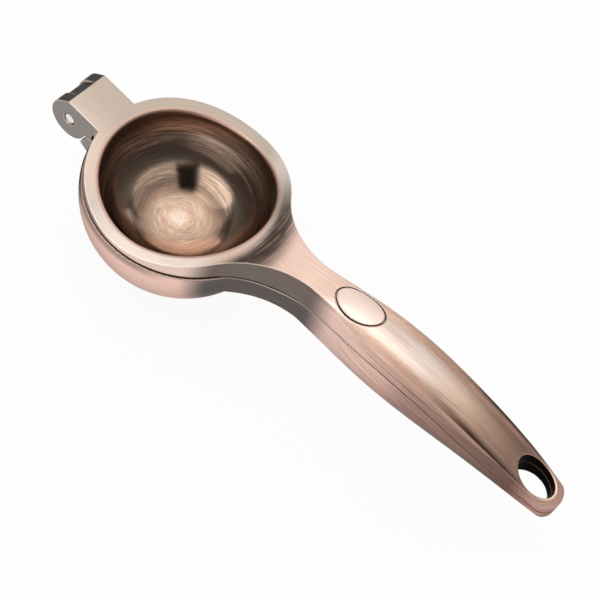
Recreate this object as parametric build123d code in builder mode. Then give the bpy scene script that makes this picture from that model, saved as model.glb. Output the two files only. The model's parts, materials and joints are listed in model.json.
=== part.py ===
# Hand-held lemon squeezer: two die-cast levers on one hinge pin. The upper lever carries a bowl whose
# underside presses the fruit, and the lower lever carries the cup with the drain holes.
# +X runs from the cup to the end of the grips, +Z is up, and the origin is the middle of the cup's foot.

import os
from math import acos, atan2, cos, degrees, hypot, radians, sin, sqrt, tan

from build123d import *

os.makedirs("parts", exist_ok=True)

# Driving dimensions in millimetres and degrees. Rises and drops are counted from the levers' parting plane.
parting_gap = 1.0
draft_angle = 4.5
overrun = 3.0

# Rim and bowl of the press half
mouth_radius = 30.8
mouth_round = 0.9
rim_width = 5.6
rim_back_rise = 5.6
rim_middle_rise = 2.0
rim_front_rise = 7.9
rim_front_inset = 5.4
bowl_depth = 19.0
bowl_wall = 2.5
bowl_bottom_wall = 3.0

# Cup of the cup half
dome_clearance = 0.7
cup_wall = 3.1
cup_lip = 0.5
cup_centre_drop = 2.4
cup_foot_radius = 14.6
cup_floor = 3.5
drain_hole_radius = 1.7
drain_inner_circle = 4.7
drain_outer_circle = 9.4
drain_inner_count = 5
drain_outer_count = 10

# Neck between rim and grip
neck_length = 21.6
neck_half_width = 6.2
neck_rise = 12.3
neck_rise_angle = 7.0
neck_drop = 8.4
neck_root_inset = 1.1
neck_root_drop = 10.8
neck_bury = 0.8

# Grips
grip_length = 110.0
grip_half_width = 12.1
grip_height = 17.3
grip_wall = 2.8
grip_gap = 0.4
tail_trim = 1.6
tail_radius = 7.3
hang_hole_inset = 11.4
hang_hole_length = 15.5
hang_hole_width = 11.0
hang_hole_edge = 0.6
channel_web = 4.25
seam_lift_length = 14.0
seam_tail_angle = -11.3

# Badge let into the upper grip
badge_inset = 8.3
badge_length = 18.3
badge_width = 11.1
badge_thickness = 1.0
badge_groove = 0.6
badge_glue = 0.05
badge_web = 5.1

# Hinge
pin_reach = 11.7
pin_drop = 1.7
pin_radius = 2.2
pin_running_gap = 0.05
pin_recess = 0.5
pin_edge = 0.3
pin_hole_edge = 0.4
fork_gap = 8.5
ear_thickness = 4.8
ear_radius = 8.0
ear_running_gap = 0.9
ear_skirt_drop = 2.6
ear_skirt_gap = 0.3
web_inset = 0.6
web_end_angle = 150.0
knuckle_radius = 4.8
knuckle_running_gap = 0.4
knuckle_side_gap = 0.2
tongue_overhang = 1.3
tongue_rise = 7.1
tongue_angle = -5.7
arm_straight_length = 4.1
arm_root_inset = 0.6
arm_root_drop = 11.2

# Grip stations from the neck's waist to the tail, as shares of the grip's length, half width and height:
# along, half width, widest level, top, bottom, then each corner's reach across and up or down.
station_shares = (
    (0.073, 0.587, 0.087, 0.820, -0.520, 0.84, 0.92, 0.92, 0.85),
    (0.155, 0.744, 0.162, 0.920, -0.503, 0.80, 0.82, 0.86, 0.80),
    (0.255, 0.917, 0.225, 0.983, -0.486, 0.76, 0.75, 0.80, 0.77),
    (0.364, 1.000, 0.260, 1.000, -0.462, 0.73, 0.73, 0.77, 0.75),
    (0.491, 0.975, 0.272, 0.942, -0.400, 0.73, 0.73, 0.76, 0.75),
    (0.636, 0.884, 0.249, 0.798, -0.306, 0.76, 0.75, 0.76, 0.75),
    (0.782, 0.760, 0.162, 0.578, -0.249, 0.82, 0.79, 0.77, 0.75),
    (0.891, 0.636, 0.046, 0.382, -0.237, 0.86, 0.82, 0.78, 0.75),
    (1.000, 0.496, -0.070, 0.150, -0.231, 0.86, 0.82, 0.80, 0.75),
)
# Parting line along the grips, as shares of the grip's length and height
seam_shares = ((0.0, 0.11), (0.155, 0.37), (0.364, 0.55), (0.636, 0.40), (0.882, 0.12), (1.06, -0.11))

# Values that follow from the ones above
draft_slope = tan(radians(draft_angle))
half_gap = parting_gap / 2
rim_radius = mouth_radius + rim_width
rim_front_x = rim_radius - rim_front_inset
dome_radius = mouth_radius + bowl_wall
dome_depth = bowl_depth + bowl_bottom_wall
cup_inner_radius = dome_radius + dome_clearance
cup_radius = cup_inner_radius + cup_wall
parting_height = cup_centre_drop + sqrt(cup_radius**2 - cup_foot_radius**2)
side_reach = rim_radius + overrun
body_top = grip_height + overrun
neck_waist_x = rim_radius + neck_length
neck_root_x = cup_radius - neck_root_inset
seam_flat_x = neck_waist_x - seam_lift_length
tail_x = neck_waist_x + grip_length - tail_trim
tail_centre_x = tail_x - tail_radius
hang_hole_x = tail_x - hang_hole_inset
badge_x = neck_waist_x + badge_inset + badge_length / 2
channel_start_x = badge_x + badge_length / 2 + badge_web
channel_end_x = hang_hole_x - hang_hole_length / 2 - channel_web
pin_x = -rim_radius - pin_reach
pin_level = parting_height - pin_drop
fork_half_width = fork_gap / 2 + ear_thickness
web_radius = ear_radius - web_inset
knuckle_half_width = fork_gap / 2 - knuckle_side_gap
knuckle_clearance = knuckle_radius + knuckle_running_gap
arm_bend_x = pin_x + arm_straight_length
arm_root_x = arm_root_inset - cup_radius
tongue_x = pin_x - tongue_overhang
tongue_corner = (tongue_x, parting_height + tongue_rise)
corner_reach = hypot(tongue_overhang, tongue_rise + pin_drop)
corner_angle = degrees(atan2(tongue_rise + pin_drop, -tongue_overhang))
ear_touch_angle = corner_angle + degrees(acos(ear_radius / corner_reach))
parting_plane = Plane.XY.offset(parting_height)
upside_down = Plane(origin=(0, 0, parting_height), x_dir=(1, 0, 0), z_dir=(0, 0, -1))


def side_point(x, rise):
    """A point of the side view, with its rise above the parting plane."""
    return (x, parting_height + rise)


def heading(angle):
    """The direction of a slope in the side view."""
    return (cos(radians(angle)), sin(radians(angle)))


def pin_point(radius, angle):
    """A point of the side view at a radius and an angle about the hinge pin."""
    return (pin_x + radius * cos(radians(angle)), pin_level + radius * sin(radians(angle)))


def body_and_neck(body_radius, plane):
    """Plan of a round body and its neck, whose hollow sides leave the body and reach the waist smoothly."""
    hollow = (neck_waist_x**2 + neck_half_width**2 - body_radius**2) / (2 * (body_radius - neck_half_width))
    hollow_y = neck_half_width + hollow
    touch_share = body_radius / hypot(neck_waist_x, hollow_y)
    touch_x = neck_waist_x * touch_share
    touch_y = hollow_y * touch_share
    with BuildSketch(plane) as plan:
        with BuildLine():
            ThreePointArc((touch_x, touch_y), (-body_radius, 0), (touch_x, -touch_y))
            TangentArc((neck_waist_x, -neck_half_width), (touch_x, -touch_y), tangent=(-1, 0))
            Polyline(
                (neck_waist_x, -neck_half_width),
                (neck_waist_x + overrun, -neck_half_width),
                (neck_waist_x + overrun, neck_half_width),
                (neck_waist_x, neck_half_width),
            )
            TangentArc((neck_waist_x, neck_half_width), (touch_x, touch_y), tangent=(-1, 0))
        make_face()
    return plan.sketch


def beyond_seam(side, far_rise):
    """Side view of all between the upper (1) or lower (-1) edge of the parting gap and a far level."""
    back_x = tongue_x - side_reach
    flat_rise = side * half_gap
    knots = [side_point(seam_flat_x, flat_rise)]
    for along, height in seam_shares:
        rise = height * grip_height + side * grip_gap / 2
        knots.append(side_point(neck_waist_x + along * grip_length, rise))
    with BuildSketch(Plane.XZ) as region:
        with BuildLine():
            Line(side_point(back_x, flat_rise), knots[0])
            line = Spline(*knots, tangents=((1, 0), heading(seam_tail_angle)))
            Polyline(
                line @ 1,
                side_point(knots[-1][0], far_rise),
                side_point(back_x, far_rise),
                side_point(back_x, flat_rise),
            )
        make_face()
    return region.sketch


def grip_section(x, half_width, widest, upper, lower, crown, keel):
    """A closed section across both grips. Where crown and keel are none, all its sides are straight."""
    across = Plane(origin=(x, 0, parting_height), x_dir=(0, 1, 0), z_dir=(1, 0, 0))
    upper_left = (-upper[0], upper[1])
    lower_left = (-lower[0], lower[1])
    right = (half_width, widest)
    left = (-half_width, widest)
    with BuildSketch(across) as section:
        with BuildLine():
            if crown is None:
                Polyline(upper_left, upper, right, lower, lower_left, left, upper_left)
            else:
                ThreePointArc(upper_left, (0, crown), upper)
                TangentArc(right, upper, tangent=(0, 1))
                TangentArc(right, lower, tangent=(0, -1))
                ThreePointArc(lower, (0, keel), lower_left)
                TangentArc(left, lower_left, tangent=(0, -1))
                TangentArc(left, upper_left, tangent=(0, 1))
        make_face()
    return section.sketch


def grip_sections(inset):
    """The sections of both grips as one form, inset all round, from the neck's waist past the tail."""
    upper = (neck_half_width - neck_rise * draft_slope - inset, neck_rise - inset)
    lower = (neck_half_width - neck_drop * draft_slope - inset, inset - neck_drop)
    sections = [grip_section(neck_waist_x, neck_half_width - inset, 0, upper, lower, None, None)]
    for along, wide, level, top, bottom, up_across, up_reach, low_across, low_reach in station_shares:
        half_width = wide * grip_half_width - inset
        widest = level * grip_height
        crown = top * grip_height - inset
        keel = bottom * grip_height + inset
        upper = (up_across * half_width, widest + up_reach * (crown - widest))
        lower = (low_across * half_width, widest - low_reach * (widest - keel))
        x = neck_waist_x + along * grip_length
        sections.append(grip_section(x, half_width, widest, upper, lower, crown, keel))
    return sections


def beyond_tail():
    """Plan of all that lies outside the tail's round end."""
    with BuildSketch() as region:
        with Locations((tail_centre_x + grip_length / 2, 0)):
            Rectangle(grip_length, 2 * side_reach)
        with Locations((tail_centre_x, 0)):
            Circle(tail_radius, mode=Mode.SUBTRACT)
    return region.sketch


def half_bowl(radius, depth, top_rise):
    """Half section of a bowl with an elliptic bottom and an upright wall."""
    with BuildSketch(Plane.XZ) as half:
        with BuildLine():
            EllipticalCenterArc(side_point(0, 0), radius, depth, start_angle=-90, arc_size=90)
            Polyline(
                side_point(radius, 0),
                side_point(radius, top_rise),
                side_point(0, top_rise),
                side_point(0, -depth),
            )
        make_face()
    return half.sketch


def hang_hole():
    """Plan of the oval hang hole."""
    with BuildSketch() as plan:
        with Locations((hang_hole_x, 0)):
            Ellipse(hang_hole_length / 2, hang_hole_width / 2)
    return plan.sketch


def badge_oval(margin):
    """Plan of the badge with a margin all round."""
    with BuildSketch(parting_plane) as plan:
        with Locations((badge_x, 0)):
            Ellipse(badge_length / 2 + margin, badge_width / 2 + margin)
    return plan.sketch


def pin_disc(radius, offset):
    """A disc about the hinge pin, offset from the middle plane to the near side."""
    with BuildSketch(Plane.XZ.offset(offset)) as disc:
        with Locations((pin_x, pin_level)):
            Circle(radius)
    return disc.sketch


def fork_side(radius, touch_angle):
    """Side view of an ear: a disc about the pin, with a straight front up to the tongue's top edge."""
    with BuildSketch(Plane.XZ) as side:
        with Locations((pin_x, pin_level)):
            Circle(radius)
        with BuildLine():
            Polyline((pin_x, pin_level), tongue_corner, pin_point(radius, touch_angle), close=True)
        make_face()
    return side.sketch


def ear_skirt(offset):
    """Side view of the skirt behind an ear, from the pin to the cup, offset to the near side."""
    with BuildSketch(Plane.XZ.offset(offset)) as side:
        with Locations(side_point(pin_x, -ear_skirt_drop)):
            Rectangle(-cup_radius - pin_x, ear_skirt_drop + rim_back_rise / 2, align=Align.MIN)
    return side.sketch


def ear_room(offset):
    """Side view of the room that an ear and its skirt need, offset to the near side."""
    with BuildSketch(Plane.XZ.offset(offset)) as room:
        with Locations((pin_x, pin_level)):
            Circle(ear_radius + ear_running_gap)
        with Locations(side_point(pin_x, -ear_skirt_drop - ear_skirt_gap)):
            Rectangle(-mouth_radius - pin_x, ear_skirt_drop + body_top, align=Align.MIN)
    return room.sketch


def below_web():
    """Side view of all that is cut away between the ears, in front of the web and below it."""
    with BuildSketch(Plane.XZ) as region:
        with Locations((pin_x, pin_level)):
            Circle(ear_radius + overrun)
        with BuildLine():
            Polyline(
                (pin_x, pin_level),
                pin_point(web_radius, web_end_angle),
                tongue_corner,
                side_point(0, tongue_rise),
                side_point(0, half_gap),
                side_point(pin_x, half_gap),
                close=True,
            )
        make_face(mode=Mode.SUBTRACT)
    return region.sketch


# Hollow inside both grips, open to the parting line
with BuildPart() as grip_hollow:
    loft(grip_sections(grip_wall))
    with BuildSketch(Plane.YZ.offset(channel_start_x)):
        Rectangle(2 * side_reach, 2 * (parting_height + body_top))
    extrude(amount=channel_end_x - channel_start_x, mode=Mode.INTERSECT)

# Pocket for the badge, which follows the crown of the grip
with BuildPart() as badge_pocket:
    extrude(badge_oval(badge_groove), amount=body_top)
    loft(grip_sections(badge_thickness + badge_glue), mode=Mode.SUBTRACT)

with BuildPart() as badge_plate:
    extrude(badge_oval(0), amount=body_top)
    loft(grip_sections(0), mode=Mode.INTERSECT)
    loft(grip_sections(badge_thickness), mode=Mode.SUBTRACT)

with BuildPart() as press_half:
    # Rim, neck and hinge tongue, cut to one top line in the side view
    extrude(body_and_neck(rim_radius, parting_plane), amount=body_top, taper=draft_angle)
    with BuildSketch(parting_plane):
        with Locations((tongue_x, 0)):
            Rectangle(rim_front_x - tongue_x, 2 * fork_half_width, align=(Align.MIN, Align.CENTER))
    extrude(amount=body_top)
    with BuildSketch(Plane.XZ):
        with BuildLine():
            top_line = Spline(
                side_point(tongue_x, tongue_rise),
                side_point(-rim_radius, rim_back_rise),
                side_point(0, rim_middle_rise),
                side_point(rim_front_x, rim_front_rise),
                side_point(neck_waist_x, neck_rise),
                tangents=(heading(tongue_angle), heading(neck_rise_angle)),
            )
            Polyline(
                top_line @ 1,
                side_point(neck_waist_x, -overrun),
                side_point(neck_waist_x + 2 * overrun, -overrun),
                side_point(neck_waist_x + 2 * overrun, body_top + overrun),
                side_point(tongue_x, body_top + overrun),
                top_line @ 0,
            )
        make_face()
    extrude(amount=side_reach, both=True, mode=Mode.SUBTRACT)
    loft(grip_sections(0))
    extrude(beyond_seam(1, -body_top), amount=side_reach, both=True, mode=Mode.SUBTRACT)
    extrude(beyond_tail(), amount=parting_height + body_top, mode=Mode.SUBTRACT)

    # Pressing dome below the rim, then the bowl inside it
    revolve(half_bowl(dome_radius, dome_depth, rim_middle_rise / 2), axis=Axis.Z)
    revolve(half_bowl(mouth_radius, bowl_depth, body_top), axis=Axis.Z, mode=Mode.SUBTRACT)
    fillet(press_half.edges(Select.LAST).filter_by(GeomType.BSPLINE), mouth_round)

    # Hinge fork: two round ears with skirts behind them, and a web between them that clears the knuckle
    extrude(fork_side(ear_radius, ear_touch_angle), amount=fork_half_width, both=True)
    for side in (-1, 1):
        extrude(ear_skirt(side * fork_gap / 2), amount=side * ear_thickness)
    extrude(pin_disc(knuckle_clearance, 0), amount=fork_gap / 2, both=True, mode=Mode.SUBTRACT)
    extrude(below_web(), amount=fork_gap / 2, both=True, mode=Mode.SUBTRACT)
    extrude(pin_disc(pin_radius, 0), amount=side_reach, both=True, mode=Mode.SUBTRACT)
    pin_hole_rings = press_half.edges(Select.LAST).filter_by(GeomType.CIRCLE).group_by(Axis.Y)
    chamfer(pin_hole_rings[0] + pin_hole_rings[-1], pin_hole_edge)

    extrude(hang_hole(), amount=parting_height + body_top, mode=Mode.SUBTRACT)
    fillet(press_half.edges(Select.LAST).filter_by(lambda edge: edge.is_closed), hang_hole_edge)
    add(grip_hollow.part, mode=Mode.SUBTRACT)
    add(badge_pocket.part, mode=Mode.SUBTRACT)

with BuildPart() as cup_half:
    # Neck with its sloped underside
    neck_body_radius = cup_radius - neck_bury
    extrude(body_and_neck(neck_body_radius, parting_plane), amount=neck_rise, taper=draft_angle)
    extrude(body_and_neck(neck_body_radius, upside_down), amount=neck_root_drop, taper=draft_angle)
    with BuildSketch(Plane.XZ):
        with BuildLine():
            Polyline(
                side_point(neck_root_x, -neck_root_drop),
                side_point(neck_waist_x, -neck_drop),
                side_point(neck_waist_x, body_top),
                side_point(neck_waist_x + 2 * overrun, body_top),
                side_point(neck_waist_x + 2 * overrun, -parting_height),
                side_point(neck_root_x, -parting_height),
                close=True,
            )
        make_face()
    extrude(amount=side_reach, both=True, mode=Mode.SUBTRACT)

    # Hinge arm from the cup's back to the pin, with room for the ears on both sides
    with BuildSketch(Plane.XZ):
        with BuildLine():
            Polyline(
                side_point(pin_x, 0),
                side_point(-mouth_radius, 0),
                side_point(-mouth_radius, -arm_root_drop),
                side_point(arm_root_x, -arm_root_drop),
                side_point(arm_bend_x, -pin_drop - knuckle_radius),
                side_point(pin_x, -pin_drop - knuckle_radius),
                close=True,
            )
        make_face()
    extrude(amount=fork_half_width, both=True)
    for side in (-1, 1):
        extrude(ear_room(side * knuckle_half_width), amount=side * side_reach, mode=Mode.SUBTRACT)

    # Cup, a ball with a flat foot
    with BuildSketch(Plane.XZ) as cup_profile:
        with Locations(side_point(0, -cup_centre_drop)):
            Circle(cup_radius)
        Rectangle(cup_radius, parting_height - half_gap, align=Align.MIN, mode=Mode.INTERSECT)
        top_corners = cup_profile.vertices().group_by(Axis.Y)[-1]
        fillet(top_corners.sort_by(Axis.X)[-1], cup_lip)
    revolve(axis=Axis.Z)
    loft(grip_sections(0))
    extrude(beyond_seam(-1, body_top), amount=side_reach, both=True, mode=Mode.SUBTRACT)
    extrude(beyond_tail(), amount=parting_height + body_top, mode=Mode.SUBTRACT)

    # Inside of the cup: a ball about the same centre, with a flat floor and an upright wall
    with BuildSketch(Plane.XZ):
        with Locations(side_point(0, -cup_centre_drop)):
            Circle(cup_inner_radius)
        with Locations((0, cup_floor)):
            Rectangle(cup_inner_radius, parting_height, align=Align.MIN, mode=Mode.INTERSECT)
        with Locations(side_point(0, -cup_centre_drop)):
            Rectangle(cup_inner_radius, cup_centre_drop + body_top, align=Align.MIN)
    revolve(axis=Axis.Z, mode=Mode.SUBTRACT)

    # Knuckle between the ears
    extrude(pin_disc(knuckle_radius, 0), amount=knuckle_half_width, both=True)
    extrude(pin_disc(pin_radius + pin_running_gap, 0), amount=side_reach, both=True, mode=Mode.SUBTRACT)

    # Drain holes in the foot
    with BuildSketch():
        with PolarLocations(drain_inner_circle, drain_inner_count):
            Circle(drain_hole_radius)
        with PolarLocations(drain_outer_circle, drain_outer_count):
            Circle(drain_hole_radius)
    extrude(amount=parting_height, mode=Mode.SUBTRACT)

    extrude(hang_hole(), amount=parting_height + body_top, mode=Mode.SUBTRACT)
    fillet(cup_half.edges(Select.LAST).filter_by(lambda edge: edge.is_closed), hang_hole_edge)
    add(grip_hollow.part, mode=Mode.SUBTRACT)

with BuildPart() as hinge_pin:
    extrude(pin_disc(pin_radius, 0), amount=fork_half_width - pin_recess, both=True)
    chamfer(hinge_pin.edges().filter_by(GeomType.CIRCLE), pin_edge)

for piece, name in (
    (press_half, "press_half"),
    (cup_half, "cup_half"),
    (hinge_pin, "hinge_pin"),
    (badge_plate, "badge_plate"),
):
    piece.part.label = name
    export_step(piece.part, f"parts/{name}.step")
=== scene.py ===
# Lemon squeezer: two die-cast levers in antique copper, hinged on one steel pin.
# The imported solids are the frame: +X runs from the cup to the end of the grips, +Z is up, in metres.

import json
from math import pi, radians

import bmesh
import bpy
from mathutils import Matrix, Vector

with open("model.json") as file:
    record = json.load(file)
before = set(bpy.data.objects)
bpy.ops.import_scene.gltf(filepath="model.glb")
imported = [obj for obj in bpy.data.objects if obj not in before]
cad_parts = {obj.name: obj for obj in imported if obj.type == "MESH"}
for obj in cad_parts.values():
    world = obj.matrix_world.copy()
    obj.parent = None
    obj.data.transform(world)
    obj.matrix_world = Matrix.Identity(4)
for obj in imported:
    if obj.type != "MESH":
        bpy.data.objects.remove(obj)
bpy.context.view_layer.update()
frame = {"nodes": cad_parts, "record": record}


# Cup half: the lower lever, a zinc die casting with a round cup, a neck and a hollow lower grip.
# It is copper plated, darkened all over and then brushed back, so the copper shows where the brush
# reached. It is darker on the neck's flanks; dark oxide and painted shade darken the seam and the hang
# hole, and painted shade darkens the cup's back and its top band on the left.
copper_pink = (0.92, 0.63, 0.53, 1)
# Mauve of the painted shade under the rim.
seam_shade_mauve = (0.36, 0.235, 0.195, 1)
copper_brown = (0.36, 0.22, 0.17, 1)
# Light copper of worn edges, which also paints their highlight.
copper_worn_and_highlit = (0.97, 0.80, 0.69, 1)
fresnel_grey = (0.5, 0.5, 0.5, 1)
cheek_grey = (0.315, 0.288, 0.268, 1)
flank_slate = (0.138, 0.118, 0.108, 1)
# Near black of dark oxide and painted shade in the seam and crevices, and of painted shade on the cup's back.
oxide_and_shade_dark = (0.030, 0.019, 0.014, 1)
# Near black of dark oxide and painted shade in the hang hole.
oxide_and_shade_black = (0.004, 0.0035, 0.003, 1)
# Brown that the painted seam shade takes where the grips close tightly.
grip_seam_shade_brown = (0.70, 0.46, 0.37, 1)
mating_brown = (0.30, 0.20, 0.155, 1)
grip_side_shades = (
    (0.070, (0.84, 0.600, 0.520, 1)),
    (0.088, (0.71, 0.480, 0.400, 1)),
    (0.097, (0.63, 0.410, 0.345, 1)),
    (0.105, (0.44, 0.280, 0.230, 1)),
    (0.116, (0.335, 0.210, 0.173, 1)),
    (0.150, (0.175, 0.100, 0.080, 1)),
    (0.160, (0.50, 0.290, 0.240, 1)),
)


def new_material(name):
    """A new material, with its node tree and its shader."""
    material = bpy.data.materials.new(name)
    material.use_nodes = True
    tree = material.node_tree
    shader = tree.nodes["Principled BSDF"]
    return material, tree, shader


def add(tree, kind, *values, **settings):
    """A node with its inputs in order: a socket is linked, None is left alone, and another value is set."""
    node = tree.nodes.new(kind)
    for name, value in settings.items():
        setattr(node, name, value)
    for socket, value in zip(node.inputs, values):
        if isinstance(value, bpy.types.NodeSocket):
            tree.links.new(value, socket)
        elif value is not None:
            socket.default_value = value
    return node


def calc(tree, operation, *values):
    """The result of one sum on numbers."""
    return add(tree, "ShaderNodeMath", *values, operation=operation).outputs[0]


def times(tree, *values):
    """The product of the values. A product of shares is 1 only where all of them are 1."""
    product = values[0]
    for value in values[1:]:
        product = calc(tree, "MULTIPLY", product, value)
    return product


def rise(tree, value, span):
    """A share of the surface: 0 where the value is at the span's start, 1 at its end, and smooth between."""
    start, end = span
    node = add(tree, "ShaderNodeMapRange", value, start, end, 0, 1, interpolation_type="SMOOTHSTEP")
    return node.outputs[0]


def without(tree, share):
    """The rest of a share."""
    return calc(tree, "SUBTRACT", 1, share)


def mix_colours(tree, way, share, first, second):
    """The first colour mixed with the second, in the given way, by the share."""
    number_and_vector_inputs = [None] * 5
    values = (share, *number_and_vector_inputs, first, second)
    return add(tree, "ShaderNodeMix", *values, data_type="RGBA", blend_type=way).outputs[2]


def tint(tree, share, first, second):
    """The first colour, turning into the second where the share is 1."""
    return mix_colours(tree, "MIX", share, first, second)


def vary(tree, colour, lines, depth):
    """The colour, darker and lighter along the lines by the depth."""
    usual_lines = (0.3, 0.7)
    factor = add(tree, "ShaderNodeMapRange", lines, *usual_lines, 1 - depth, 1 + depth).outputs[0]
    return mix_colours(tree, "MULTIPLY", 1, colour, factor)


def shades(tree, value, stops):
    """Colours that follow a value, from stops of a value and its colour."""
    first, last = stops[0][0], stops[-1][0]
    share = add(tree, "ShaderNodeMapRange", value, first, last, 0, 1).outputs[0]
    ramp = add(tree, "ShaderNodeValToRGB", share)
    elements = ramp.color_ramp.elements
    while len(elements) < len(stops):
        elements.new(1)
    for element, (place, colour) in zip(elements, stops):
        element.position = (place - first) / (last - first)
        element.color = colour
    return ramp.outputs[0]


def noise(tree, vector, scale, detail, roughness):
    """Uneven shares from 0 to 1, so many to a unit of the vector."""
    return add(tree, "ShaderNodeTexNoise", vector, None, scale, detail, roughness).outputs[0]


def streaks(tree, *stretched):
    """Uneven lines: noise in a space that is stretched along the brush's way."""
    detail, roughness = 3, 0.6
    space = add(tree, "ShaderNodeCombineXYZ", *stretched).outputs[0]
    return noise(tree, space, 1, detail, roughness)


def surface(tree):
    """Where a point of the surface is, which way it faces, and its distance from the cup's axis."""
    upright_tilt = (0.75, 0.45)
    coordinates = tree.nodes.new("ShaderNodeTexCoord")
    place = add(tree, "ShaderNodeSeparateXYZ", coordinates.outputs["Object"]).outputs
    facing = add(tree, "ShaderNodeSeparateXYZ", coordinates.outputs["Normal"]).outputs
    squares = calc(tree, "ADD", times(tree, place[0], place[0]), times(tree, place[1], place[1]))
    return {
        "point": coordinates.outputs["Object"],
        "x": place[0], "y": place[1], "z": place[2], "radius": calc(tree, "SQRT", squares),
        "face_x": facing[0], "face_y": facing[1], "face_z": facing[2],
        "across": calc(tree, "ABSOLUTE", facing[1]),
        "upright": rise(tree, calc(tree, "ABSOLUTE", facing[2]), upright_tilt),
    }


def ring_lines(tree, at, density, turn):
    """Lines turned about the cup's axis: the density sets how fine they are, the turn how short."""
    around_x = times(tree, calc(tree, "DIVIDE", at["x"], at["radius"]), turn)
    around_y = times(tree, calc(tree, "DIVIDE", at["y"], at["radius"]), turn)
    outward = times(tree, calc(tree, "ADD", at["radius"], at["z"]), density)
    return streaks(tree, outward, around_x, around_y)


def grip_lines(tree, at, along, across):
    """Lines brushed along the grips, which follow their round form."""
    grip_axis_z, grip_reach = 0.040, 0.011
    turn = calc(tree, "ARCTAN2", calc(tree, "SUBTRACT", at["z"], grip_axis_z), at["y"])
    length = times(tree, at["x"], along)
    width = times(tree, turn, across * grip_reach)
    return streaks(tree, length, width)


def casting_lines(tree, at):
    """Brush lines of a lever: turned on the round part, lengthwise on the neck, the grip and the tongue."""
    neck_x, tongue_x = (0.040, 0.048), (-0.035, -0.037)
    ring_density, ring_turn = 2400, 2.4
    grip_along, grip_across = 40, 1900
    lengthwise = calc(tree, "ADD", rise(tree, at["x"], neck_x), rise(tree, at["x"], tongue_x))
    turned = ring_lines(tree, at, ring_density, ring_turn)
    brushed = grip_lines(tree, at, grip_along, grip_across)
    return add(tree, "ShaderNodeMix", lengthwise, None, turned, brushed).outputs[0]


def hang_hole(tree, at):
    """The square of the distance from the middle of the hang hole, 1 just outside its wall."""
    millimetre = 0.001
    wall_margin = 0.1 * millimetre
    mount = next(mount for mount in frame["record"]["mounts"] if mount["name"] == "hang_hole")
    reach_x = mount["dims"]["slot_length_mm"] / 2 * millimetre + wall_margin
    reach_y = mount["dims"]["hole_r_mm"] * millimetre + wall_margin
    hole_x = calc(tree, "DIVIDE", calc(tree, "SUBTRACT", at["x"], mount["pos_m"][0]), reach_x)
    hole_y = calc(tree, "DIVIDE", at["y"], reach_y)
    return calc(tree, "ADD", times(tree, hole_x, hole_x), times(tree, hole_y, hole_y))


def darker_places(tree, at, lines, colour, flank_shade):
    """Darker colours on a lever: grey on the neck's upright flanks and the hinge cheeks, and near black in
    the hang hole, from dark oxide and painted shade.
    """
    flank_start_x, flank_end_x = (0.0220, 0.0302), (0.073, 0.060)
    flank_foot_z = (0.012, 0.020)
    flank_unevenness = 0.18
    cheek_x, cheek_tilt = (-0.0364, -0.0369), (0.6, 0.9)
    hole_wall = (1.06, 1.01)
    flank = times(
        tree,
        at["upright"],
        rise(tree, at["x"], flank_start_x),
        rise(tree, at["x"], flank_end_x),
        rise(tree, at["z"], flank_foot_z),
    )
    colour = tint(tree, flank, colour, vary(tree, flank_shade, lines, flank_unevenness))
    cheek = times(tree, rise(tree, at["x"], cheek_x), rise(tree, at["across"], cheek_tilt))
    colour = tint(tree, cheek, colour, cheek_grey)
    # Dark oxide and painted shade: the hang hole's wall is near black.
    hole = times(tree, rise(tree, hang_hole(tree, at), hole_wall), at["upright"])
    return tint(tree, hole, colour, oxide_and_shade_black)


def finish_casting(tree, shader, colour, lines, base_roughness, crevice_shade, worn_highlight_share):
    """Light worn edges that also paint a highlight, oxide and painted shade in crevices and gaps, brush
    relief and roughness, the same on both levers and the plate.
    """
    edge_round, edge_samples = 0.0008, 6
    edge_sameness, edge_openness, edge_upward = (0.99, 0.85), (0.45, 0.75), (-0.35, 0.0)
    crevice_reach, crevice_samples = 0.0022, 8
    crevice_openness = (0.42, 0.12)
    line_roughness = 0.16
    relief_strength, relief_depth = 0.2, 0.00008

    rounded = add(tree, "ShaderNodeBevel", edge_round, samples=edge_samples).outputs[0]
    true_face = tree.nodes.new("ShaderNodeNewGeometry").outputs["Normal"]
    sameness = add(tree, "ShaderNodeVectorMath", rounded, true_face, operation="DOT_PRODUCT").outputs["Value"]
    # Dark oxide and painted shade: the colour turns to the crevice shade where other surfaces are near, in
    # crevices and in the gaps between the parts.
    openness = add(tree, "ShaderNodeAmbientOcclusion", None, crevice_reach, samples=crevice_samples)
    crevice = rise(tree, openness.outputs["AO"], crevice_openness)
    colour = tint(tree, crevice, colour, crevice_shade)
    own_openness = add(tree, "ShaderNodeAmbientOcclusion", None, crevice_reach, samples=crevice_samples)
    own_openness.only_local = True
    upward = add(tree, "ShaderNodeSeparateXYZ", rounded).outputs[2]
    # Worn edges in light copper, which also paint a highlight where the rounded edges face up.
    worn_highlit_edge = times(
        tree,
        rise(tree, sameness, edge_sameness),
        rise(tree, own_openness.outputs["AO"], edge_openness),
        rise(tree, upward, edge_upward),
        worn_highlight_share,
    )
    colour = tint(tree, worn_highlit_edge, colour, copper_worn_and_highlit)
    tree.links.new(colour, shader.inputs["Base Color"])

    roughness = calc(tree, "ADD", base_roughness, times(tree, lines, line_roughness))
    tree.links.new(roughness, shader.inputs["Roughness"])
    relief = tree.nodes.new("ShaderNodeBump")
    relief.inputs["Strength"].default_value = relief_strength
    relief.inputs["Distance"].default_value = relief_depth
    tree.links.new(lines, relief.inputs["Height"])
    tree.links.new(rounded, relief.inputs["Normal"])
    tree.links.new(relief.outputs[0], shader.inputs["Normal"])
    shader.inputs["Metallic"].default_value = 1
    shader.inputs["Specular Tint"].default_value = fresnel_grey


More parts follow.
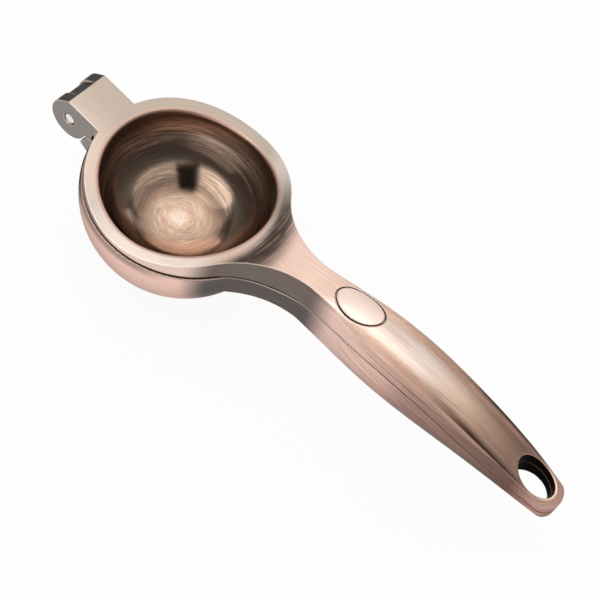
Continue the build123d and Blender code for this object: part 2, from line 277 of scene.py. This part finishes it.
def seam_shade(tree, at):
    """The colour of the dark oxide and painted shade in crevices and seams: dark between the cup and the rim,
    and brown where the grips close tightly.
    """
    grip_x, grip_z, clear_of_hole = (0.080, 0.100), (0.0470, 0.0430), (1.3, 1.7)
    tight = times(
        tree,
        rise(tree, at["x"], grip_x),
        rise(tree, at["z"], grip_z),
        rise(tree, hang_hole(tree, at), clear_of_hole),
    )
    return tint(tree, tight, oxide_and_shade_dark, grip_seam_shade_brown)


def grip_side(tree, at, lines):
    """The grips' sides, from pink at the neck to dark brown at the tail."""
    side_unevenness = 0.42
    return vary(tree, shades(tree, at["x"], grip_side_shades), lines, side_unevenness)


def dress(node, material):
    """Gives a solid its finish."""
    for slot in frame["nodes"][node].material_slots:
        slot.material = material


cup_unevenness, mating_unevenness = 0.12, 0.15
seam_band_z, seam_band_x, seam_band_strength = (0.0320, 0.0355), (0.022, 0.008), 0.85
back_band_z, back_band_x = (0.022, 0.030), (-0.018, -0.030)
neck_to_grip_x = (0.0302, 0.060)
hollow_radius, hollow_z = (0.0345, 0.0340), (0.0030, 0.0034)
inward_face, inside_strength = (0.12, 0.03), 0.8
cup_mating_tilt, cup_mating_z = (0.90, 0.97), (0.0340, 0.0355)
casting_worn_highlight, worn_highlight_end_x = 0.75, (0.100, 0.084)
cup_roughness = 0.29

cup_copper, tree, shader = new_material("cup_copper")
at = surface(tree)
lines = casting_lines(tree, at)
colour = vary(tree, copper_pink, lines, cup_unevenness)
# Painted shade: the cup's top band on the left, just under the rim, turns mauve.
shaded_seam_band = times(tree, rise(tree, at["z"], seam_band_z), rise(tree, at["x"], seam_band_x))
colour = tint(tree, times(tree, shaded_seam_band, seam_band_strength), colour, seam_shade_mauve)
# Painted shade: a near-black band high on the back of the cup.
shaded_back_band = times(tree, rise(tree, at["z"], back_band_z), rise(tree, at["x"], back_band_x))
colour = tint(tree, shaded_back_band, colour, oxide_and_shade_dark)
colour = tint(tree, rise(tree, at["x"], neck_to_grip_x), colour, grip_side(tree, at, lines))
colour = darker_places(tree, at, lines, colour, flank_slate)

outward = calc(tree, "ADD", times(tree, at["x"], at["face_x"]), times(tree, at["y"], at["face_y"]))
outward = calc(tree, "DIVIDE", outward, at["radius"])
inside = times(
    tree,
    rise(tree, at["radius"], hollow_radius),
    rise(tree, at["z"], hollow_z),
    rise(tree, outward, inward_face),
    inside_strength,
)
colour = tint(tree, inside, colour, copper_brown)
mating = times(tree, rise(tree, at["face_z"], cup_mating_tilt), rise(tree, at["z"], cup_mating_z))
colour = tint(tree, mating, colour, vary(tree, mating_brown, lines, mating_unevenness))
worn_highlight_share = times(tree, rise(tree, at["x"], worn_highlight_end_x), casting_worn_highlight)
finish_casting(tree, shader, colour, lines, cup_roughness, seam_shade(tree, at), worn_highlight_share)
dress("cup_half", cup_copper)


# Hinge pin: a plain drawn steel pin, pressed into the two ears of the press half.
# Its ends are ground flat and left bright.
steel_grey = (0.80, 0.77, 0.73, 1)
steel_bright = (0.93, 0.90, 0.86, 1)
grain_scale, grain_detail, grain_roughness = 3000, 2, 0.5
steel_roughness, steel_unevenness = 0.22, 0.15

pin_steel, tree, shader = new_material("pin_steel")
at = surface(tree)
grain = noise(tree, at["point"], grain_scale, grain_detail, grain_roughness)
tree.links.new(tint(tree, grain, steel_grey, steel_bright), shader.inputs["Base Color"])
roughness = calc(tree, "ADD", steel_roughness, times(tree, grain, steel_unevenness))
tree.links.new(roughness, shader.inputs["Roughness"])
shader.inputs["Metallic"].default_value = 1
dress("hinge_pin", pin_steel)


# Press half: the upper lever, one die casting with the rim, the spun bowl whose underside is the
# pressing dome, the hinge fork, the neck and the upper grip. The rim and the tongue are brushed pale,
# and the bowl goes from bright copper at the bottom to dark brown at the wall.
mouth_radius = 0.0308
flank_grey = (0.188, 0.151, 0.130, 1)
rim_champagne = (0.47, 0.385, 0.317, 1)
rim_silver = (0.60, 0.52, 0.46, 1)
rim_bevel_pink = (0.58, 0.38, 0.30, 1)
rim_side_pink = (0.84, 0.64, 0.54, 1)
# Brown of the painted shade on the rim's side towards the hinge.
rim_side_shade_brown = (0.38, 0.30, 0.25, 1)
# Brown of the painted dark reflection in the crescent.
crescent_reflection_brown = (0.066, 0.048, 0.038, 1)
fork_front_grey = (0.085, 0.080, 0.075, 1)
# Brown of the painted shadow along the creases, and of the dark scratches.
crease_shadow_and_scratch_brown = (0.058, 0.031, 0.022, 1)
wall_line_copper = (0.62, 0.45, 0.36, 1)
# Copper of the painted glow on the bowl's near side.
near_bowl_glow_copper = (0.78, 0.46, 0.32, 1)
# Rim colours along the near side, pale cream in the middle as a painted highlight.
near_rim_tone_and_highlight_shades = (
    (-0.022, (0.70, 0.55, 0.45, 1)),
    (-0.016, (0.63, 0.54, 0.46, 1)),
    (-0.012, (0.70, 0.60, 0.52, 1)),
    (0.012, (0.84, 0.715, 0.63, 1)),
    (0.024, (0.82, 0.69, 0.60, 1)),
    (0.032, (0.66, 0.46, 0.36, 1)),
)
# Crown colours along the grip: pale cream by the badge as a painted highlight, darker towards the tail.
crown_tone_and_highlight_shades = (
    (0.045, (0.76, 0.535, 0.445, 1)),
    (0.070, (0.77, 0.555, 0.455, 1)),
    (0.090, (0.62, 0.490, 0.415, 1)),
    (0.104, (0.65, 0.530, 0.460, 1)),
    (0.120, (0.59, 0.420, 0.320, 1)),
    (0.131, (0.44, 0.290, 0.210, 1)),
    (0.145, (0.33, 0.200, 0.150, 1)),
    (0.152, (0.40, 0.250, 0.190, 1)),
    (0.163, (0.92, 0.600, 0.470, 1)),
)
# Shoulder colours along the grip, lighter by the tail, which the far side also takes as painted light.
shoulder_tone_and_light_shades = (
    (0.070, (0.78, 0.555, 0.455, 1)),
    (0.087, (0.79, 0.520, 0.400, 1)),
    (0.102, (0.60, 0.380, 0.280, 1)),
    (0.114, (0.60, 0.380, 0.280, 1)),
    (0.138, (0.92, 0.550, 0.410, 1)),
    (0.163, (0.88, 0.580, 0.440, 1)),
)
bowl_shades = (
    (0.00, (0.80, 0.640, 0.530, 1)),
    (0.08, (0.76, 0.590, 0.470, 1)),
    (0.15, (0.60, 0.410, 0.300, 1)),
    (0.28, (0.55, 0.385, 0.280, 1)),
    (0.43, (0.27, 0.175, 0.120, 1)),
    (0.52, (0.145, 0.100, 0.072, 1)),
    (0.62, (0.27, 0.193, 0.143, 1)),
    (0.66, (0.29, 0.210, 0.157, 1)),
    (0.79, (0.13, 0.090, 0.068, 1)),
    (0.88, (0.15, 0.097, 0.069, 1)),
    (1.00, (0.62, 0.465, 0.380, 1)),
)


def upper_grip(tree, at, lines):
    """The top of the neck and the grip: its crown, pale cream by the badge as a painted highlight, its
    shoulders, whose colours the far side takes as painted light, and a painted shadow along the creases and
    scratches by the tail.
    """
    shoulder_tilt, lit_far_side_tilt, crown_unevenness = (0.96, 0.80), (0.15, 0.40), 0.18
    mottle_scale, mottle_detail, mottle_roughness = 900, 3, 0.6
    mottle_tilt, mottle_unevenness = (0.10, 0.45), 0.12
    crease_y, crease_tilt = (0.0050, 0.0077), (0.58, 0.74)
    crease_start_x, crease_end_x = (0.106, 0.132), (0.158, 0.150)
    scratch_lines, scratch_y, scratch_start_x = (0.53, 0.66), (-0.0005, -0.0050), (0.100, 0.118)
    scratch_strength = 0.65

    # Painted highlight and painted light: the crown is pale cream by the badge, and the far side takes the
    # shoulder colours.
    crown = shades(tree, at["x"], crown_tone_and_highlight_shades)
    shoulder = shades(tree, at["x"], shoulder_tone_and_light_shades)
    tilted = rise(tree, at["face_z"], shoulder_tilt)
    shoulder_and_lit_far_side = calc(tree, "MAXIMUM", tilted, rise(tree, at["face_y"], lit_far_side_tilt))
    colour = vary(tree, tint(tree, shoulder_and_lit_far_side, crown, shoulder), lines, crown_unevenness)
    mottle = noise(tree, at["point"], mottle_scale, mottle_detail, mottle_roughness)
    mottled = vary(tree, colour, mottle, mottle_unevenness)
    colour = tint(tree, rise(tree, at["face_y"], mottle_tilt), colour, mottled)
    # Painted shadow: a dark brown band along the crease on each side of the grip.
    crease = times(
        tree,
        rise(tree, calc(tree, "ABSOLUTE", at["y"]), crease_y),
        rise(tree, at["face_z"], crease_tilt),
        rise(tree, at["x"], crease_start_x),
        rise(tree, at["x"], crease_end_x),
    )
    colour = tint(tree, crease, colour, crease_shadow_and_scratch_brown)
    scratches = times(
        tree,
        rise(tree, lines, scratch_lines),
        rise(tree, at["y"], scratch_y),
        rise(tree, at["face_z"], crease_tilt),
        rise(tree, at["x"], scratch_start_x),
        rise(tree, at["x"], crease_end_x),
        scratch_strength,
    )
    return tint(tree, scratches, colour, crease_shadow_and_scratch_brown)


def pale_rim(tree, at, lines):
    """The rim's top: champagne to silver on the far side, and paler on the near side, partly as a painted
    highlight.
    """
    silver_x, near_y, rim_unevenness = (0.008, 0.018), (0.005, -0.022), 0.08
    near_tone_and_highlight = shades(tree, at["x"], near_rim_tone_and_highlight_shades)
    far_shade = tint(tree, rise(tree, at["x"], silver_x), rim_champagne, rim_silver)
    rim_shade = tint(tree, rise(tree, at["y"], near_y), far_shade, near_tone_and_highlight)
    return vary(tree, rim_shade, lines, rim_unevenness)


def dark_crescent_reflection(tree, at):
    """Where a painted dark reflection lies in a crescent between the rim and the neck, broken up by turned
    lines.
    """
    start_radius, start_lean = (0.0315, 0.0355), 0.12
    end_radius, end_lean = (0.0458, 0.0385), 0.20
    near_end_y, front_x = (-0.026, -0.014), (0.018, 0.034)
    line_density, line_turn, broken_lines = 2600, 2.4, (0.16, 0.48)
    lines = ring_lines(tree, at, line_density, line_turn)
    start = calc(tree, "ADD", at["radius"], times(tree, at["y"], start_lean))
    end = calc(tree, "ADD", at["radius"], times(tree, at["y"], end_lean))
    return times(
        tree,
        rise(tree, start, start_radius),
        rise(tree, end, end_radius),
        rise(tree, at["y"], near_end_y),
        rise(tree, at["x"], front_x),
        rise(tree, lines, broken_lines),
    )


def spun_bowl(tree, at):
    """The bowl's colour and roughness, in rings from its middle to its mouth that lean to one side, with a
    painted glow on the near side.
    """
    swirl_density, swirl_turn, swirl_unevenness = 900, 1.6, 0.25
    swirl_middle, swirl_spread = 0.5, 0.22
    fine_density, fine_turn, fine_unevenness = 2600, 2.6, 0.22
    lean_by_y, lean_by_x, most_lean = 9, 11, 0.05
    lean_start, lean_end = (0.26, 0.38), (0.66, 0.50)
    near_lean, near_start, near_end = (-0.11, -0.18), (0.30, 0.38), (0.62, 0.52)
    bottom_reach, wall_radius = (0.46, 0.34), (0.024, 0.027)
    bright_fine_lines, bright_swirl, bright_strength = (0.60, 0.70), (0.45, 0.60), 0.7
    polished, bottom_roughness, wall_roughness = 0.02, 0.20, 0.22

    swirl = ring_lines(tree, at, swirl_density, swirl_turn)
    fine_swirl = ring_lines(tree, at, fine_density, fine_turn)
    reach = calc(tree, "DIVIDE", at["radius"], mouth_radius)
    leaning = calc(tree, "SUBTRACT", times(tree, at["y"], lean_by_y), times(tree, at["x"], lean_by_x))
    # Painted light: a brighter copper glow on the near side, part way up the bowl.
    near_glow = times(
        tree,
        rise(tree, leaning, near_lean),
        rise(tree, reach, near_start),
        rise(tree, reach, near_end),
    )
    lean = times(
        tree,
        calc(tree, "MINIMUM", leaning, most_lean),
        rise(tree, reach, lean_start),
        rise(tree, reach, lean_end),
    )
    reach = calc(tree, "ADD", reach, lean)
    bottom = rise(tree, reach, bottom_reach)
    reach = calc(tree, "ADD", reach, times(tree, calc(tree, "SUBTRACT", swirl, swirl_middle), swirl_spread))
    colour = tint(tree, near_glow, shades(tree, reach, bowl_shades), near_bowl_glow_copper)
    colour = vary(tree, colour, swirl, swirl_unevenness)
    colour = vary(tree, colour, fine_swirl, fine_unevenness)
    wall = rise(tree, at["radius"], wall_radius)
    bright_lines = times(
        tree,
        wall,
        rise(tree, fine_swirl, bright_fine_lines),
        rise(tree, swirl, bright_swirl),
        bright_strength,
    )
    colour = tint(tree, bright_lines, colour, wall_line_copper)
    brushed = calc(tree, "ADD", times(tree, bottom, bottom_roughness), times(tree, wall, wall_roughness))
    return colour, calc(tree, "ADD", polished, brushed)


round_part_x, rim_side_x = (0.039, 0.027), (-0.013, 0.001)
level_tilt, bevel_tilt, bowl_tilt = (0.6, 0.9), (0.1, 0.3), (-0.06, -0.01)
wall_outside, wall_inside = 0.0004, 0.0001
mouth_wall = (mouth_radius + wall_outside, mouth_radius - wall_inside)
bevel_width, bevel_full = 0.0018, 0.0010
bevel_radius = (mouth_radius + bevel_width, mouth_radius + bevel_full)
fork_front_tilt, fork_front_x = (-0.35, -0.6), (-0.040, -0.044)
press_mating_tilt, press_mating_radius = (-0.90, -0.97), (0.0325, 0.0335)
press_roughness = 0.30

press_copper, tree, shader = new_material("press_copper")
at = surface(tree)
lines = casting_lines(tree, at)
colour = tint(tree, at["upright"], upper_grip(tree, at, lines), grip_side(tree, at, lines))
round_part = rise(tree, at["x"], round_part_x)
# Painted shade: the rim's outer side goes from pink at the front to brown towards the hinge.
rim_side = tint(tree, rise(tree, at["x"], rim_side_x), rim_side_shade_brown, rim_side_pink)
colour = tint(tree, times(tree, at["upright"], round_part), colour, rim_side)
colour = darker_places(tree, at, lines, colour, flank_grey)

level = rise(tree, at["face_z"], level_tilt)
in_mouth = rise(tree, at["radius"], mouth_wall)
rim = times(tree, level, without(tree, in_mouth), round_part)
colour = tint(tree, rim, colour, pale_rim(tree, at, lines))
bevel = times(tree, rise(tree, at["radius"], bevel_radius), rise(tree, at["face_z"], bevel_tilt))
colour = tint(tree, bevel, colour, rim_bevel_pink)
# Painted dark reflection: a dark crescent on the level faces between the rim and the neck.
colour = tint(tree, times(tree, level, dark_crescent_reflection(tree, at)), colour, crescent_reflection_brown)
fork_front = times(tree, rise(tree, at["face_x"], fork_front_tilt), rise(tree, at["x"], fork_front_x))
colour = tint(tree, fork_front, colour, fork_front_grey)
facing_cup = rise(tree, at["face_z"], press_mating_tilt)
mating = times(tree, facing_cup, rise(tree, at["radius"], press_mating_radius))
colour = tint(tree, mating, colour, vary(tree, mating_brown, lines, mating_unevenness))

bowl = times(tree, in_mouth, rise(tree, at["face_z"], bowl_tilt))
bowl_colour, bowl_roughness = spun_bowl(tree, at)
colour = tint(tree, bowl, colour, bowl_colour)
roughness = add(tree, "ShaderNodeMix", bowl, None, press_roughness, bowl_roughness).outputs[0]
finish_casting(tree, shader, colour, lines, roughness, seam_shade(tree, at), casting_worn_highlight)
dress("press_half", press_copper)


# Badge plate: a thin oval plate of satin copper, glued into the pocket in the upper grip.
# It is bare, a little paler than the grip, and brushed lengthwise.
badge_satin = (0.81, 0.635, 0.55, 1)
badge_along, badge_across, badge_unevenness = 60, 2500, 0.06
badge_roughness = 0.36

badge_copper, tree, shader = new_material("badge_copper")
at = surface(tree)
lines = grip_lines(tree, at, badge_along, badge_across)
colour = vary(tree, badge_satin, lines, badge_unevenness)
finish_casting(tree, shader, colour, lines, badge_roughness, oxide_and_shade_dark, casting_worn_highlight)
dress("badge_plate", badge_copper)


# Floor and light: a plain pale floor that shows nearly white and keeps a faint shadow.
# Two oval soft boxes hang overhead, two oblong ones stand in front and at the back, and a small
# dark flag hangs over the bowl, which mirrors it as a dark patch.
floor_size = 12.0
floor_grey = (0.9, 0.9, 0.9, 1)
floor_roughness = 0.8
shown_white = (1, 1, 1, 1)
shown_share = 0.92
room_grey = (0.30, 0.30, 0.30, 1)

floor_mesh = bmesh.new()
bmesh.ops.create_grid(floor_mesh, x_segments=1, y_segments=1, size=floor_size / 2)
floor_data = bpy.data.meshes.new("floor")
floor_mesh.to_mesh(floor_data)
floor_mesh.free()
floor = bpy.data.objects.new("floor", floor_data)
bpy.context.scene.collection.objects.link(floor)

floor_white, tree, shader = new_material("floor_white")
shader.inputs["Base Color"].default_value = floor_grey
shader.inputs["Roughness"].default_value = floor_roughness
shader.inputs["Specular IOR Level"].default_value = 0
paths = tree.nodes.new("ShaderNodeLightPath").outputs
seen = calc(tree, "MAXIMUM", paths["Is Camera Ray"], paths["Is Glossy Ray"])
seen = calc(tree, "MAXIMUM", seen, paths["Is Transmission Ray"])
white = add(tree, "ShaderNodeEmission", shown_white, 1)
shown = add(tree, "ShaderNodeMixShader", times(tree, seen, shown_share), shader.outputs[0], white.outputs[0])
tree.links.new(shown.outputs[0], tree.nodes["Material Output"].inputs["Surface"])
floor_data.materials.append(floor_white)

world = bpy.data.worlds.new("room")
world.use_nodes = True
world.node_tree.nodes["Background"].inputs["Color"].default_value = room_grey
bpy.context.scene.world = world


def soft_box(name, shape, place, aim, width, length, radiance):
    """A flat light of even radiance that faces a point."""
    area = width * length if shape == "RECTANGLE" else width * length * pi / 4
    lamp = bpy.data.lights.new(name, "AREA")
    lamp.shape = shape
    lamp.size = width
    lamp.size_y = length
    lamp.energy = radiance * pi * area
    box = bpy.data.objects.new(name, lamp)
    box.location = place
    box.rotation_euler = (Vector(aim) - Vector(place)).to_track_quat("-Z", "Y").to_euler()
    bpy.context.scene.collection.objects.link(box)


squeezer_middle = (0.055, 0, 0.04)
soft_box(
    "main_box", "ELLIPSE", place=(-0.22, 0.49, 1.04), aim=(-0.22, 0.49, 0),
    width=1.76, length=2.14, radiance=1.0,
)
soft_box(
    "bright_box", "ELLIPSE", place=(-0.38, -0.20, 1.03), aim=(-0.38, -0.20, 0),
    width=1.0, length=0.62, radiance=1.6,
)
soft_box(
    "front_box", "RECTANGLE", place=(0.155, -1.24, 0.70), aim=squeezer_middle,
    width=1.6, length=1.0, radiance=0.95,
)
soft_box(
    "back_box", "RECTANGLE", place=(-0.65, 1.32, 0.50), aim=squeezer_middle,
    width=1.87, length=0.9, radiance=0.75,
)

flag_height = 0.12
flag_corners = ((0.028, -0.001), (-0.009, 0.028), (-0.021, 0.014), (0.007, -0.030))
flag_grey = (0.05, 0.05, 0.05, 1)

flag_mesh = bmesh.new()
flag_mesh.faces.new([flag_mesh.verts.new((x, y, flag_height)) for x, y in flag_corners])
flag_data = bpy.data.meshes.new("flag")
flag_mesh.to_mesh(flag_data)
flag_mesh.free()
flag = bpy.data.objects.new("flag", flag_data)
flag.visible_camera = False
bpy.context.scene.collection.objects.link(flag)

flag_black, tree, shader = new_material("flag_black")
shader.inputs["Base Color"].default_value = flag_grey
shader.inputs["Roughness"].default_value = 1
shader.inputs["Specular IOR Level"].default_value = 0
flag_data.materials.append(flag_black)


# Camera: a long lens, high in front of the grip, rolled so that the grip runs to the lower right.
# Its place, aim and roll are fitted to the outline of the real squeezer.
camera_place = Vector((0.1576, -0.2830, 0.4924))
camera_aim = Vector((0.0573, -0.0063, 0.0400))
camera_roll = radians(23.9)
focal_length = 96
nearest_shown = 0.01

lens = bpy.data.cameras.new("camera")
lens.lens = focal_length
lens.clip_start = nearest_shown
camera = bpy.data.objects.new("camera", lens)
aim = (camera_aim - camera_place).to_track_quat("-Z", "Y").to_matrix().to_4x4()
camera.matrix_world = Matrix.Translation(camera_place) @ aim @ Matrix.Rotation(camera_roll, 4, "Z")
bpy.context.scene.collection.objects.link(camera)
bpy.context.scene.camera = camera
bpy.context.scene.view_settings.view_transform = "Standard"
